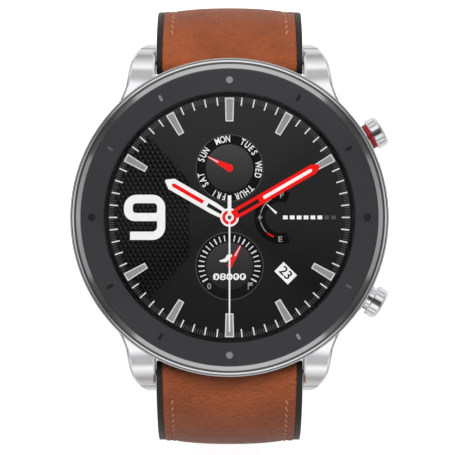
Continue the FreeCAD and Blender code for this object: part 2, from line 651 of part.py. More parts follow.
def make_strap(side, run, end, tail):
    """One strap half with its spring bar, quick release and cuts."""
    y, z = BAR_POINT
    base, leather, tray = strap_pair(run, end, tail)
    if side == "upper":
        finish = at_station(run, end)
        eye = rod(1.45, size_of("strap_end_half"), 0, 0)
        eye.Placement = finish
        keyway = local_box(finish, 1.7, -4.6, 3, -3, 4)
        bore = rod(size_of("buckle_bore"), 12, 0, 0)
        bore.Placement = finish
        trim = local_box(finish, 12, -1.7, 4, -3, 4)
        leather, tray = leather.cut(trim).cut(keyway), tray.cut(trim)
        base = base.cut(tray).fuse(eye.cut(leather)).cut(bore).cut(keyway)
    else:
        base = base.cut(tray)
        for number in range(HOLE_COUNT):
            spot = at_station(run, end - 17 - number * HOLE_PITCH)
            drill = Part.makeCylinder(HOLE_RADIUS, 8, V(0, 0, -4), Z_AXIS)
            drill.Placement = spot
            base, leather = base.cut(drill), leather.cut(drill)
    base = base.cut(rod(size_of("bar_radius"), 12, y, z)).cut(lever_slot(run, side))
    keep(coded(side + "_strap_base", mirrored(base, side)))
    keep(coded(side + "_strap_leather", mirrored(leather, side)))
    tube = rod(size_of("bar_radius"), size_of("strap_half") - 0.3, y, z)
    fixed_tip = Part.makeCylinder(size_of("tip_radius"), 1.6, V(size_of("strap_half") - 0.5, y, z), X_AXIS)
    hollow = Part.makeCylinder(0.62, 8.5, V(-size_of("strap_half"), y, z), X_AXIS)
    place = at_station(run, 0)
    slot = Part.makeBox(3.6, 1.1, 2, V(-8.5, -0.55, -2))
    slot.Placement = place
    keep(coded(side + "_spring_bar", mirrored(tube.fuse(fixed_tip).cut(hollow).cut(slot), side)))
    shaft = Part.makeCylinder(0.55, 4.0, V(-10.4, y, z), X_AXIS)
    nose = Part.makeCylinder(size_of("tip_radius"), 1.6, V(-11.9, y, z), X_AXIS)
    lever = Part.makeCylinder(0.4, 2.45, V(-7.8, 0, 0), V(0, 0, -1))
    knob = Part.makeCylinder(0.62, 0.5, V(-7.8, 0, -2.4), V(0, 0, -1))
    lever = lever.fuse(knob)
    lever.Placement = place
    keep(coded(side + "_release_tip", mirrored(shaft.fuse([nose, lever]), side)))
    coil = coil_shape(0.42, 0.12, 0.75, 3.5)
    coil.Placement = spin(Y_AXIS, 90, V(-6.1, y, z))
    keep(coded(side + "_release_spring", mirrored(coil, side)))


# ---------------------------------------------------------------- keepers and buckle
def make_keeper(label, along, length, half, low, high, wall):
    """A closed loop that holds the strap tail down."""
    body = new_body(label)
    sketch = new_sketch(body, "XZ_Plane", f"{length} / 2")
    draw_outline(sketch, rectangle(f"-({half}) - {wall}", f"{half} + {wall}", low - wall, high + wall))
    draw_outline(sketch, rectangle(f"-({half})", half, low, high))
    raised = pad(body, sketch, length)
    raised.Reversed = True
    body.Placement = at_station(UPPER_RUN, along)
    keep(body)


def make_buckle():
    """Open steel frame, its bar and the tongue that drops on the front rail."""
    place = at_station(UPPER_RUN, UPPER_LENGTH)
    outer, inner = "buckle_half", "window_half"
    frame = slab("buckle_frame", [
        (f"-{outer}", -1.6), (f"-{inner}", -1.6), (f"-{inner}", 9.4), ("via", -10.05, 10.05),
        (-9.4, 10.3), (9.4, 10.3), ("via", 10.05, 10.05), (inner, 9.4), (inner, -1.6), (outer, -1.6),
        (outer, 10.3), ("via", 11.5, 12.6), (9.2, 13.5), (-9.2, 13.5), ("via", -11.5, 12.6), (f"-{outer}", 10.3)],
        -1.15, 2.3)
    bore = new_sketch(frame, "YZ_Plane")
    draw_circle(bore, 0, 0, "buckle_bar")
    cut(frame, bore, 40, both_ways=True)
    bar = new_body("buckle_bar")
    section = new_sketch(bar, "YZ_Plane")
    draw_circle(section, 0, 0, "buckle_bar")
    pad(bar, section, "2 * buckle_half - 0.4", both_ways=True)
    tongue = new_body("buckle_tongue")
    side_view = new_sketch(tongue, "YZ_Plane")
    draw_outline(side_view, [
        (0.3, -1.3), ("via", -1.35, 0), (0, 1.4), (9.6, 2.55), (13.0, 2.35), ("via", 13.6, 1.9), (13.0, 1.35),
        (9.8, 1.3), (1.6, -0.2)])
    draw_circle(side_view, 0, 0, "buckle_bore")
    pad(tongue, side_view, 2.4, both_ways=True)
    for body in (frame, bar, tongue):
        body.Placement = place
    keep(frame, bar, tongue)


make_case()
make_bezel()
make_glass_and_display()
make_inside()
make_back()
make_pusher("upper", True)
make_pusher("lower", False)
make_strap("upper", UPPER_RUN, UPPER_LENGTH, 0)
make_strap("lower", LOWER_RUN, LOWER_LENGTH, 9.0)
make_keeper("keeper_fixed", UPPER_LENGTH - 8.5, 4.5, "strap_end_half + 0.25", -1.5, 4.1, 0.9)
make_keeper("keeper_free", UPPER_LENGTH - 15.5, 5.0, "strap_end_half + 0.75", -1.9, 4.1, 0.9)
make_buckle()
doc.recompute()

for thing in doc.Objects:
    if "Invalid" in thing.State or "Error" in thing.State:
        raise SystemExit(f"{thing.Label} did not compute: {thing.State}")
for piece in pieces:
    shape = piece.Shape
    if shape.isNull() or not shape.isValid() or not shape.Solids:
        raise SystemExit(f"{piece.Label} has no valid solid")
for piece in pieces:
    piece.Shape.exportStep(f"parts/{piece.Label}.step")
    box = piece.Shape.BoundBox
    print(f"{piece.Label:24s} solids {len(piece.Shape.Solids)} volume {piece.Shape.Volume:9.2f}"
          f"  x {box.XMin:7.2f} {box.XMax:7.2f}  y {box.YMin:7.2f} {box.YMax:7.2f}  z {box.ZMin:7.2f} {box.ZMax:7.2f}")
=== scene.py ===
import bpy
import bmesh
import math
from mathutils import Matrix, Vector


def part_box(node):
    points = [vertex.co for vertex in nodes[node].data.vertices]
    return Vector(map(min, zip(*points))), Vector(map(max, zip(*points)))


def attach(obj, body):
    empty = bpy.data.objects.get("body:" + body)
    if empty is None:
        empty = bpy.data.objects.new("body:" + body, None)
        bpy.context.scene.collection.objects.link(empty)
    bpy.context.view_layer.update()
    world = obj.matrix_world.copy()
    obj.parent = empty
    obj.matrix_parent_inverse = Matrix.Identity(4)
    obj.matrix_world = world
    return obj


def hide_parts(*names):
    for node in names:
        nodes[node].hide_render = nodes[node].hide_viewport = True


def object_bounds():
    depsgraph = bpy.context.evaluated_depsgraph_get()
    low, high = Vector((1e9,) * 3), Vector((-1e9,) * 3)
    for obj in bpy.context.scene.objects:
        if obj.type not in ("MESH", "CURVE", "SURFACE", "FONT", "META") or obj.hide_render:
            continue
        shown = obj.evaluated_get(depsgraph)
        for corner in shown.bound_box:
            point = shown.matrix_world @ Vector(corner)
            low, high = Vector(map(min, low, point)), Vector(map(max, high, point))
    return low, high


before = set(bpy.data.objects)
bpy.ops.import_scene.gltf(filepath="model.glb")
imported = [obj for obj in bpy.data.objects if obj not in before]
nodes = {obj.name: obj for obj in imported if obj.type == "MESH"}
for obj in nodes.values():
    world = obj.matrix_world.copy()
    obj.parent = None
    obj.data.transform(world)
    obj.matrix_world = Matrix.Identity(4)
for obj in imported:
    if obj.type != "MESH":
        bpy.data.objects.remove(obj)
cad_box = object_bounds()

# ---------------------------------------------------------------- steel case
# The case ring, its four lugs and the button bosses are one piece of turned and milled
# stainless steel. It is polished, so what shows is the room in it and the finest hairlines.


def new_finish(name, colour, rough, metal=0.0, **sockets):
    """A material with its shader; uniform values sit on the shader's own sockets."""
    finish = bpy.data.materials.new(name)
    finish.use_nodes = True
    shader = finish.node_tree.nodes["Principled BSDF"]
    shader.inputs["Base Color"].default_value = (*colour, 1)
    shader.inputs["Roughness"].default_value = rough
    shader.inputs["Metallic"].default_value = metal
    for socket, value in sockets.items():
        shader.inputs[socket.replace("_", " ")].default_value = value
    return finish, finish.node_tree, shader


def new_group(name, inputs, outputs):
    """A shader node group with named inputs and outputs."""
    group = bpy.data.node_groups.new(name, "ShaderNodeTree")
    for label, kind, value in inputs:
        socket = group.interface.new_socket(label, in_out="INPUT", socket_type=kind)
        socket.default_value = value
    for label, kind in outputs:
        group.interface.new_socket(label, in_out="OUTPUT", socket_type=kind)
    return group, group.nodes.new("NodeGroupInput"), group.nodes.new("NodeGroupOutput")


def node(tree, kind, **settings):
    made = tree.nodes.new("ShaderNode" + kind)
    for key, value in settings.items():
        setattr(made, key, value)
    return made


def make_grain_group():
    """Fine marks of a made surface: a height and a roughness that vary together."""
    group, given, result = new_group("surface_grain", [
        ("Scale", "NodeSocketFloat", 900.0),
        ("Stretch", "NodeSocketVector", (1.0, 1.0, 1.0)),
        ("Smooth", "NodeSocketFloat", 0.1),
        ("Rough", "NodeSocketFloat", 0.2),
    ], [("Height", "NodeSocketFloat"), ("Roughness", "NodeSocketFloat")])
    place = node(group, "TexCoord")
    stretched = node(group, "VectorMath", operation="MULTIPLY")
    noise = node(group, "TexNoise")
    noise.inputs["Detail"].default_value = 5.0
    noise.inputs["Roughness"].default_value = 0.62
    spread = node(group, "MapRange")
    spread.inputs["From Min"].default_value = 0.32
    spread.inputs["From Max"].default_value = 0.68
    link = group.links.new
    link(place.outputs["Object"], stretched.inputs[0])
    link(given.outputs["Stretch"], stretched.inputs[1])
    link(stretched.outputs[0], noise.inputs["Vector"])
    link(given.outputs["Scale"], noise.inputs["Scale"])
    link(noise.outputs["Fac"], spread.inputs["Value"])
    link(given.outputs["Smooth"], spread.inputs["To Min"])
    link(given.outputs["Rough"], spread.inputs["To Max"])
    link(noise.outputs["Fac"], result.inputs["Height"])
    link(spread.outputs["Result"], result.inputs["Roughness"])
    return group


def make_drift_group():
    """Slow change between two colours over a surface."""
    group, given, result = new_group("colour_drift", [
        ("Scale", "NodeSocketFloat", 60.0),
        ("Light", "NodeSocketColor", (0.5, 0.5, 0.5, 1)),
        ("Dark", "NodeSocketColor", (0.4, 0.4, 0.4, 1)),
    ], [("Colour", "NodeSocketColor")])
    place = node(group, "TexCoord")
    noise = node(group, "TexNoise")
    noise.inputs["Detail"].default_value = 3.0
    spread = node(group, "MapRange")
    spread.inputs["From Min"].default_value = 0.35
    spread.inputs["From Max"].default_value = 0.65
    mix = node(group, "Mix", data_type="RGBA")
    link = group.links.new
    link(place.outputs["Object"], noise.inputs["Vector"])
    link(given.outputs["Scale"], noise.inputs["Scale"])
    link(noise.outputs["Fac"], spread.inputs["Value"])
    link(spread.outputs["Result"], mix.inputs["Factor"])
    link(given.outputs["Dark"], mix.inputs[6])
    link(given.outputs["Light"], mix.inputs[7])
    link(mix.outputs[2], result.inputs["Colour"])
    return group


grain_group = make_grain_group()
drift_group = make_drift_group()


def add_group(tree, group, **values):
    placed = node(tree, "Group")
    placed.node_tree = group
    for key, value in values.items():
        placed.inputs[key].default_value = value
    return placed


def grained(name, light, dark, smooth, rough, metal=0.0, scale=900.0, stretch=(1, 1, 1), bump=0.1,
            depth=0.00003, drift=60.0, **sockets):
    """A finish whose colour drifts a little and whose surface has a fine grain."""
    finish, tree, shader = new_finish(name, light, (smooth + rough) / 2, metal, **sockets)
    grain = add_group(tree, grain_group, Scale=scale, Stretch=stretch, Smooth=smooth, Rough=rough)
    colour = add_group(tree, drift_group, Scale=drift, Light=(*light, 1), Dark=(*dark, 1))
    relief = node(tree, "Bump")
    relief.inputs["Strength"].default_value = bump
    relief.inputs["Distance"].default_value = depth
    tree.links.new(colour.outputs["Colour"], shader.inputs["Base Color"])
    tree.links.new(grain.outputs["Roughness"], shader.inputs["Roughness"])
    tree.links.new(grain.outputs["Height"], relief.inputs["Height"])
    tree.links.new(relief.outputs["Normal"], shader.inputs["Normal"])
    return finish


def wear(finish, *names):
    """Give CAD pieces their finish."""
    for name in names:
        mesh = nodes[name].data
        mesh.materials.clear()
        mesh.materials.append(finish)


polished_steel = grained("polished_steel", (0.80, 0.80, 0.81), (0.74, 0.74, 0.75), 0.05, 0.11, 1.0,
                         scale=2600, bump=0.03)
brushed_steel = grained("brushed_steel", (0.62, 0.62, 0.63), (0.54, 0.54, 0.55), 0.22, 0.36, 1.0,
                        scale=3000, stretch=(1, 8, 1), bump=0.12)
wear(polished_steel, "case_middle", "bezel_ring")

# ---------------------------------------------------------------- push buttons
# Turned steel caps on stems that run in pressed sleeves; the upper one carries a dark red
# anodised ring. Springs and clips are drawn wire, the seals are rubber.
red_anodised = grained("red_anodised", (0.40, 0.012, 0.022), (0.30, 0.008, 0.015), 0.2, 0.32, 0.6, scale=2500)
drawn_wire = grained("drawn_wire", (0.5, 0.5, 0.52), (0.42, 0.42, 0.44), 0.2, 0.34, 1.0, scale=4000)
seal_rubber = grained("seal_rubber", (0.018, 0.018, 0.018), (0.012, 0.012, 0.012), 0.55, 0.75, scale=2500)
wear(polished_steel, "upper_pusher_cap", "lower_pusher_cap")
wear(brushed_steel, "upper_pusher_sleeve", "lower_pusher_sleeve")
wear(red_anodised, "upper_pusher_ring")
wear(drawn_wire, "upper_pusher_spring", "lower_pusher_spring", "upper_pusher_clip", "lower_pusher_clip")
wear(seal_rubber, "upper_pusher_seal", "lower_pusher_seal", "back_gasket", "glass_gasket", "bezel_adhesive")

# ---------------------------------------------------------------- bezel
# A dark, finely blasted ring is bonded in the polished carrier. Its twelve engraved marks
# are filled with a thin satin layer whose grey, changing from hour to hour, is painted highlight and shade.
bezel_coating = grained("bezel_coating", (0.034, 0.034, 0.036), (0.028, 0.028, 0.030), 0.42, 0.52, 0.35,
                        scale=5000, bump=0.25, depth=0.00002)
wear(bezel_coating, "bezel_insert")

# ---------------------------------------------------------------- back and inside
# A moulded back with a dark tinted sensor window, four screws and two gold contacts closes
# the case. The frame, board, cell and motor behind the dial are seen only when it is opened.
moulded_black = grained("moulded_black", (0.030, 0.030, 0.032), (0.022, 0.022, 0.024), 0.42, 0.58,
                        scale=3500, bump=0.3)
solder_mask = grained("solder_mask", (0.015, 0.11, 0.05), (0.010, 0.08, 0.035), 0.3, 0.4, scale=2500)
bare_sheet = grained("bare_sheet", (0.52, 0.53, 0.55), (0.45, 0.46, 0.48), 0.28, 0.42, 1.0, stretch=(6, 1, 1))
flex_film = grained("flex_film", (0.42, 0.18, 0.04), (0.34, 0.14, 0.03), 0.3, 0.4)
gold_plate = grained("gold_plate", (0.85, 0.62, 0.28), (0.78, 0.55, 0.24), 0.12, 0.22, 1.0, scale=2500)
nickel_plate = grained("nickel_plate", (0.60, 0.59, 0.56), (0.53, 0.52, 0.50), 0.15, 0.25, 1.0)
lamp_resin = grained("lamp_resin", (0.72, 0.76, 0.60), (0.62, 0.68, 0.50), 0.18, 0.3, scale=2000)
tinted_lens = grained("tinted_lens", (0.016, 0.017, 0.02), (0.012, 0.012, 0.015), 0.04, 0.09,
                      scale=2000, bump=0.02, Coat_Weight=0.6)
wear(moulded_black, "back_cover", "inner_chassis", "button_switch_upper", "button_switch_lower")
wear(solder_mask, "main_board", "sensor_board")
wear(bare_sheet, "board_shield", "display_frame", "vibration_motor", "battery")
wear(flex_film, "display_flex")
wear(gold_plate, "charging_contacts")
wear(nickel_plate, "charging_magnets")
wear(lamp_resin, "sensor_leds")
wear(tinted_lens, "sensor_window")
wear(brushed_steel, "back_screws", "chassis_screws")

# ---------------------------------------------------------------- glass and display
# Clear cover glass lies over a lit panel. Everything on the dial is light from the panel,
# so each figure is a thin emitting layer between panel and glass.
clear_glass = new_finish("clear_glass", (1, 1, 1), 0.0, IOR=1.42, Transmission_Weight=1.0)[0]
wear(clear_glass, "cover_glass")
panel_black = grained("panel_black", (0.003, 0.003, 0.003), (0.002, 0.002, 0.002), 0.3, 0.4, scale=1500,
                      Specular_IOR_Level=0.1)
wear(panel_black, "display_panel")
MM = 0.001
PANEL_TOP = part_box("display_panel")[1].z / MM
LAYER = 0.006


def lit(name, colour, strength=1.0):
    """Light of one colour from the panel, a little uneven from place to place."""
    finish, tree, shader = new_finish(name, (0, 0, 0), 0.4, Emission_Strength=strength,
                                      Specular_IOR_Level=0.0)
    dimmer = [part * 0.94 for part in colour]
    tone = add_group(tree, drift_group, Scale=900.0, Light=(*colour, 1), Dark=(*dimmer, 1))
    tree.links.new(tone.outputs["Colour"], shader.inputs["Emission Color"])
    return finish


def grey(level):
    """Linear light for a screen level from 0 to 255."""
    share = level / 255
    return ((share + 0.055) / 1.055) ** 2.4 if share > 0.04 else share / 12.92


def lit_grey(name, level):
    return lit(name, (grey(level), grey(level), grey(level)))


def shaded(name, low, high, point_low, point_high):
    """Light that changes evenly between two heights on the dial."""
    finish, tree, shader = new_finish(name, (0, 0, 0), 0.4, Emission_Strength=1.0, Specular_IOR_Level=0.0)
    place = node(tree, "TexCoord")
    parts = node(tree, "SeparateXYZ")
    fade = node(tree, "MapRange")
    fade.inputs["From Min"].default_value = point_low * MM
    fade.inputs["From Max"].default_value = point_high * MM
    mix = node(tree, "Mix", data_type="RGBA")
    mix.inputs[6].default_value = (grey(low), grey(low), grey(low), 1)
    mix.inputs[7].default_value = (grey(high), grey(high), grey(high), 1)
    link = tree.links.new
    link(place.outputs["Object"], parts.inputs[0])
    link(parts.outputs["Y"], fade.inputs["Value"])
    link(fade.outputs["Result"], mix.inputs["Factor"])
    link(mix.outputs[2], shader.inputs["Emission Color"])
    return finish


def settle(made, name, finish, body="case"):
    """Name a made mesh piece, give it its finish and its body."""
    made.name = name
    made.data.name = name
    made.data.materials.clear()
    made.data.materials.append(finish)
    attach(made, body)
    return made


def from_curve(curve, name, finish, place):
    """Turn a curve or text drawn in millimetres into a thin mesh piece in metres."""
    drawn = bpy.data.objects.new(name + "_drawn", curve)
    bpy.context.scene.collection.objects.link(drawn)
    bpy.context.view_layer.update()
    mesh = bpy.data.meshes.new_from_object(drawn.evaluated_get(bpy.context.evaluated_depsgraph_get()))
    bpy.data.objects.remove(drawn)
    bpy.data.curves.remove(curve)
    mesh.transform(Matrix.Scale(MM, 4) @ place)
    made = bpy.data.objects.new(name, mesh)
    bpy.context.scene.collection.objects.link(made)
    return settle(made, name, finish)


def printed(name, loops, level, finish, thickness=LAYER * 0.8):
    """Flat figures with holes, one layer of the dial."""
    curve = bpy.data.curves.new(name, "CURVE")
    curve.dimensions = "2D"
    curve.fill_mode = "BOTH"
    curve.extrude = thickness / 2
    for loop in loops:
        spline = curve.splines.new("POLY")
        spline.points.add(len(loop) - 1)
        for point, (x, y) in zip(spline.points, loop):
            point.co = (x, y, 0, 1)
        spline.use_cyclic_u = True
    return from_curve(curve, name, finish, Matrix.Translation((0, 0, PANEL_TOP + LAYER * (level + 0.5))))


def lettered(name, words, centre, height, turn, level, finish, weight=0.0, width=1.0):
    """Plain figures or letters of the dial, centred on a point."""
    text = bpy.data.curves.new(name, "FONT")
    text.body = words
    text.align_x = "CENTER"
    text.align_y = "CENTER"
    text.size = height / 0.7
    text.offset = weight
    text.extrude = LAYER / 2 * 0.8
    place = (Matrix.Translation((*centre, PANEL_TOP + LAYER * (level + 0.5)))
             @ Matrix.Rotation(math.radians(turn), 4, "Z") @ Matrix.Diagonal((width, 1, 1, 1)))
    return from_curve(text, name, finish, place)


def polar(radius, degrees, centre=(0, 0)):
    angle = math.radians(degrees)
    return (centre[0] + radius * math.cos(angle), centre[1] + radius * math.sin(angle))


def disc(radius, centre=(0, 0), steps=96):
    return [polar(radius, 360 * i / steps, centre) for i in range(steps)]


def band(inner, outer, first, last, centre=(0, 0), steps=48):
    """Part of a ring between two angles."""
    angles = [first + (last - first) * i / steps for i in range(steps + 1)]
    return [polar(outer, a, centre) for a in angles] + [polar(inner, a, centre) for a in reversed(angles)]


def along(degrees, shape, centre=(0, 0)):
    """Points given as distance out and distance aside, turned to a direction."""
    angle = math.radians(degrees)
    c, s = math.cos(angle), math.sin(angle)
    return [(centre[0] + r * c - a * s, centre[1] + r * s + a * c) for r, a in shape]


def bar(degrees, inner, outer, inner_width, outer_width=None, centre=(0, 0)):
    outer_width = inner_width if outer_width is None else outer_width
    return along(degrees, [(inner, inner_width / 2), (outer, outer_width / 2),
                           (outer, -outer_width / 2), (inner, -inner_width / 2)], centre)


white = lit_grey("dial_white", 250)
soft_white = lit_grey("dial_soft_white", 225)
mid_grey = lit_grey("dial_mid_grey", 150)
dim_grey = lit_grey("dial_dim_grey", 82)
dark = lit_grey("dial_dark", 9)
signal_red = lit("dial_red", (0.98, 0.010, 0.008))

# ---------------------------------------------------------------- dial ground and scale
# A black ground that lightens towards twelve, a panel of small raised pyramids on the
# left, then sixty ticks, their fine divisions and ten batons.
ground_light = shaded("dial_ground", 17, 44, -16, 16)
printed("dial_ground", [disc(17.95, steps=160)], 0, ground_light)


def clipped_texture():
    """Rows of sheared pyramids cut to the outline of the left-hand panel."""
    pitch_x, pitch_y, shear, rise = 0.73, 0.66, 0.36, 0.5
    mesh = bmesh.new()
    for row in range(-26, 27):
        for column in range(-20, 6):
            left = -9.0 + column * pitch_x + (row % 2) * shear
            low = row * pitch_y
            corners = [mesh.verts.new((left + dx * pitch_x, low + dy * pitch_y, 0))
                       for dx, dy in ((0, 0), (1, 0), (1, 1), (0, 1))]
            peak = mesh.verts.new((left + rise * pitch_x, low + 0.62 * pitch_y, 0.003))
            for tone in range(4):
                face = mesh.faces.new((corners[tone], corners[(tone + 1) % 4], peak))
                face.material_index = tone
    cuts = [((-5.96, 0), (1, 0)), ((-5.96, 5.4), (0.743, 0.669)), ((-5.96, -5.8), (0.743, -0.669))]
    cuts += [(polar(17.3, a), polar(1, a)) for a in range(126, 238, 2)]
    for (x, y), (nx, ny) in cuts:
        geometry = mesh.verts[:] + mesh.edges[:] + mesh.faces[:]
        bmesh.ops.bisect_plane(mesh, geom=geometry, plane_co=(x, y, 0), plane_no=(nx, ny, 0),
                               clear_outer=True)
    data = bpy.data.meshes.new("dial_texture")
    mesh.to_mesh(data)
    mesh.free()
    data.transform(Matrix.Scale(MM, 4) @ Matrix.Translation((0, 0, PANEL_TOP + LAYER * 1.2)))
    made = bpy.data.objects.new("dial_texture", data)
    bpy.context.scene.collection.objects.link(made)
    tones = [shaded(f"texture_tone_{i}", low, high, -14, 14)
             for i, (low, high) in enumerate(((3, 7), (30, 52), (20, 34), (8, 14)))]
    shares = [face.material_index for face in data.polygons]
    settle(made, "dial_texture", tones[0])
    for tone in tones[1:]:
        made.data.materials.append(tone)
    for face, share in zip(data.polygons, shares):
        face.material_index = share


clipped_texture()
SCALE_EDGE = 17.8
printed("minute_ticks", [bar(a, 16.6, SCALE_EDGE, 0.2) for a in range(0, 360, 6) if a % 30 or a in (0, 180)],
        2, soft_white)
printed("fine_ticks", [bar(a + 1.2 * part, 17.1, SCALE_EDGE, 0.1)
                       for a in range(0, 360, 6) for part in range(1, 5)], 2, dim_grey)
baton_angles = [a for a in range(0, 360, 30) if a not in (0, 180)]
printed("baton_edges", [bar(a, 14.2, 17.7, 1.16 if a % 180 == 90 else 0.92, 1.34 if a % 180 == 90 else 1.25)
                        for a in baton_angles], 3, soft_white)
printed("baton_faces", [bar(a, 14.36, 17.54, 0.84 if a % 180 == 90 else 0.62, 1.02 if a % 180 == 90 else 0.93)
                        for a in baton_angles], 4, mid_grey)


def nine():
    """The large squared figure at nine, with rounded outer corners and a slot in its head."""
    def corner(x, y, radius, first, last, steps=8):
        return [polar(radius, first + (last - first) * i / steps, (x, y)) for i in range(steps + 1)]
    left, right, top, low = -15.6, -9.5, 3.35, -3.33
    outline = (corner(right - 1.9, top - 1.9, 1.9, 0, 90) + corner(left + 1.9, top - 1.9, 1.9, 90, 180)
               + corner(left + 1.6, -0.55 + 1.6, 1.6, 180, 270)
               + [(right - 1.2, -0.55)] + corner(right - 1.9, -1.4, 0.7, 0, -90)
               + [(-14.7, -2.1), (-14.7, low)] + corner(right - 1.9, low + 1.9, 1.9, 270, 360))
    slot = (corner(-11.2, 1.6, 0.5, 0, 90) + corner(-13.8, 1.6, 0.5, 90, 180)
            + corner(-13.8, 1.15, 0.5, 180, 270) + corner(-11.0, 0.95, 0.3, 270, 360))
    return [outline, slot]


printed("figure_nine", nine(), 4, white)

# ---------------------------------------------------------------- small dials
# Weekday dial above, step counter below and battery arc on the right, each a dark ring
# round a grey disc with its own pointer, and a tilted date window.
DAY, STEPS, CELL = (0, 7.3), (0, -7.2), (7.6, 0)
disc_light = shaded("day_disc_light", 38, 66, 4.0, 10.6)
steps_light = shaded("steps_disc_light", 30, 58, -10.6, -3.8)
printed("day_rim", [disc(4.98, DAY), disc(4.88, DAY)], 3, dim_grey)
printed("day_track", [disc(4.88, DAY)], 2, dark)
printed("day_disc", [disc(3.5, DAY)], 4, disc_light)
LETTER_STEP = 10.4
for words, turn in (("SUN", 153.5), ("MON", 103.8), ("TUES", 47.4), ("WED", -4), ("THUR", -59.2),
                    ("FRI", -111), ("SAT", -155.7)):
    for place, letter in enumerate(words):
        spin = turn + LETTER_STEP * ((len(words) - 1) / 2 - place)
        lettered(f"day_{words.lower()}_{place}", letter, polar(4.27, spin, DAY), 0.95, spin - 90, 5,
                 white, 0.02, 0.74)
POINTER = [(0, 0.5), (1.9, 0.3), (3.6, 0.1), (3.6, -0.1), (1.9, -0.3), (0, -0.5)]
printed("day_pointer", [along(152.5, POINTER, DAY)], 6, signal_red)
printed("day_pointer_line", [bar(152.5, 1.9, 3.6, 0.2, 0.1, DAY)], 7, soft_white)
printed("day_hub", [disc(0.56, DAY)], 7, signal_red)
printed("steps_rim", [disc(5.02, STEPS), disc(4.92, STEPS)], 3, dim_grey)
printed("steps_track", [disc(4.92, STEPS)], 2, dark)
printed("steps_disc", [disc(3.5, STEPS)], 4, steps_light)
printed("steps_ticks", [bar(a, 3.7, 4.6, 0.16 if a % 30 else 0.22, None, STEPS) for a in range(-30, 211, 10)],
        5, soft_white)
lettered("steps_zero", "0", polar(4.25, 225, STEPS), 0.85, 0, 5, mid_grey, 0.02)
flag_at = polar(4.25, -44, STEPS)
printed("steps_flag", [[(flag_at[0] + x, flag_at[1] + y) for x, y in
                        ((-0.35, -0.55), (-0.22, -0.55), (-0.22, 0.0), (0.45, 0.12), (0.3, 0.32),
                         (0.45, 0.55), (-0.35, 0.55))]], 5, mid_grey)
printed("steps_pointer", [along(61.6, [(-0.1, 0.34), (1.8, 0.3), (3.5, 0.12), (3.5, -0.12), (1.8, -0.3),
                                       (-0.1, -0.34)], STEPS)], 6, signal_red)
printed("steps_pointer_line", [bar(61.6, 1.7, 3.4, 0.2, 0.1, STEPS)], 7, soft_white)
SHOE = [(-1.5, 0.85), (-1.4, 0.62), (-0.5, 0.6), (-0.1, 0.95), (0.4, 1.5), (0.3, 1.78), (0.1, 1.62),
        (-0.05, 1.85), (-0.25, 1.62), (-0.38, 1.7), (-0.62, 1.2), (-0.95, 1.0)]
printed("steps_shoe", [[(x, STEPS[1] + y) for x, y in SHOE]], 5, white)
COUNT_LINE = STEPS[1] - 1.62
lettered("steps_count", "08000", (0, COUNT_LINE), 0.95, 0, 6, white, 0.02, 1.45)
printed("steps_slashes", [bar(58, -0.42, 0.42, 0.11, None, (x, COUNT_LINE))
                          for x in (-2.13, 0.0, 1.06, 2.12)], 7, white)
printed("cell_band", [band(2.3, 3.95, 70, 290, CELL)], 2, dark)
printed("cell_arc", [band(2.98, 3.12, 118, 168, CELL), band(2.98, 3.12, 192, 225, CELL)], 3, mid_grey)
printed("cell_low", [band(2.95, 3.15, 228, 250, CELL)], 3, signal_red)
printed("cell_pointer", [bar(137, 0.9, 2.85, 0.34, 0.1, CELL)], 5, white)
lettered("cell_full", "F", polar(3.25, 88, CELL), 0.8, 0, 4, mid_grey, 0.02, 1.2)
lettered("cell_empty", "E", polar(3.25, 268, CELL), 0.8, 0, 4, mid_grey, 0.02, 1.2)
BOLT = [(0.16, 0.62), (-0.36, -0.1), (-0.04, -0.1), (-0.16, -0.62), (0.36, 0.12), (0.04, 0.12)]
printed("cell_bolt", [[(CELL[0] - 3.1 + x, y) for x, y in BOLT]], 4, mid_grey)


def activity_bar(number):
    """One of the plain bars in a row that show the day's activity."""
    left = 7.9 + number * 1.02
    return [(left, -0.28), (left + 0.7, -0.28), (left + 0.7, 0.28), (left, 0.28)]


printed("activity_bars", [activity_bar(number) for number in range(6)], 4, white)
printed("activity_rest", [activity_bar(number) for number in range(6, 8)], 4, dim_grey)
DATE = (8.3, -8.25)
printed("date_window", [along(-45, [(-1.4, 0.97), (1.4, 0.97), (1.4, -0.97), (-1.4, -0.97)], DATE)], 4, white)
lettered("date_figures", "23", DATE, 1.3, -45, 5, dark, 0.03, 1.05)

# The bezel's engraved marks are filled with thin layers whose grey is painted light: a painted
# highlight at twelve, eleven, six and five, fainter painted light at four and ten, and black painted shade at
# the rest.
MARK_CIRCLE, MARK_FLOOR = 20.3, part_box("bezel_insert")[1].z / MM - 0.3
mark_painted_highlight = grained("mark_painted_highlight", (0.17, 0.17, 0.17), (0.13, 0.13, 0.13), 0.4, 0.55, scale=4000)
mark_painted_half_light = grained("mark_painted_half_light", (0.075, 0.075, 0.076), (0.06, 0.06, 0.06), 0.4, 0.55, scale=4000)
mark_painted_shade = grained("mark_painted_shade", (0.006, 0.006, 0.006), (0.004, 0.004, 0.004), 0.35, 0.5, scale=4000)


def mark_outline(hour):
    """A dot at each quarter hour, a short rounded dash at the rest."""
    angle = 90 - 30 * hour
    if hour % 3 == 0:
        return disc(0.53, polar(MARK_CIRCLE, angle), 32)
    dash = []
    for side, first in ((1, -90), (-1, 90)):
        for turn in range(first, first + 181, 20):
            dash.append(polar(0.23, turn, (MARK_CIRCLE + 0.29 * side, 0)))
    return along(angle, dash)


FILL_DEPTH = 0.10
# Painted light by hour: the highlight, the fainter light and the shade in the engraved marks.
for finish, hours in ((mark_painted_highlight, (12, 6, 5, 11)), (mark_painted_half_light, (4, 10)),
                      (mark_painted_shade, (1, 2, 3, 7, 8, 9))):
    for hour in hours:
        level = (MARK_FLOOR - PANEL_TOP + FILL_DEPTH / 2) / LAYER - 0.5
        fill = printed(f"bezel_mark_{hour}", [mark_outline(hour)], level, finish, FILL_DEPTH)

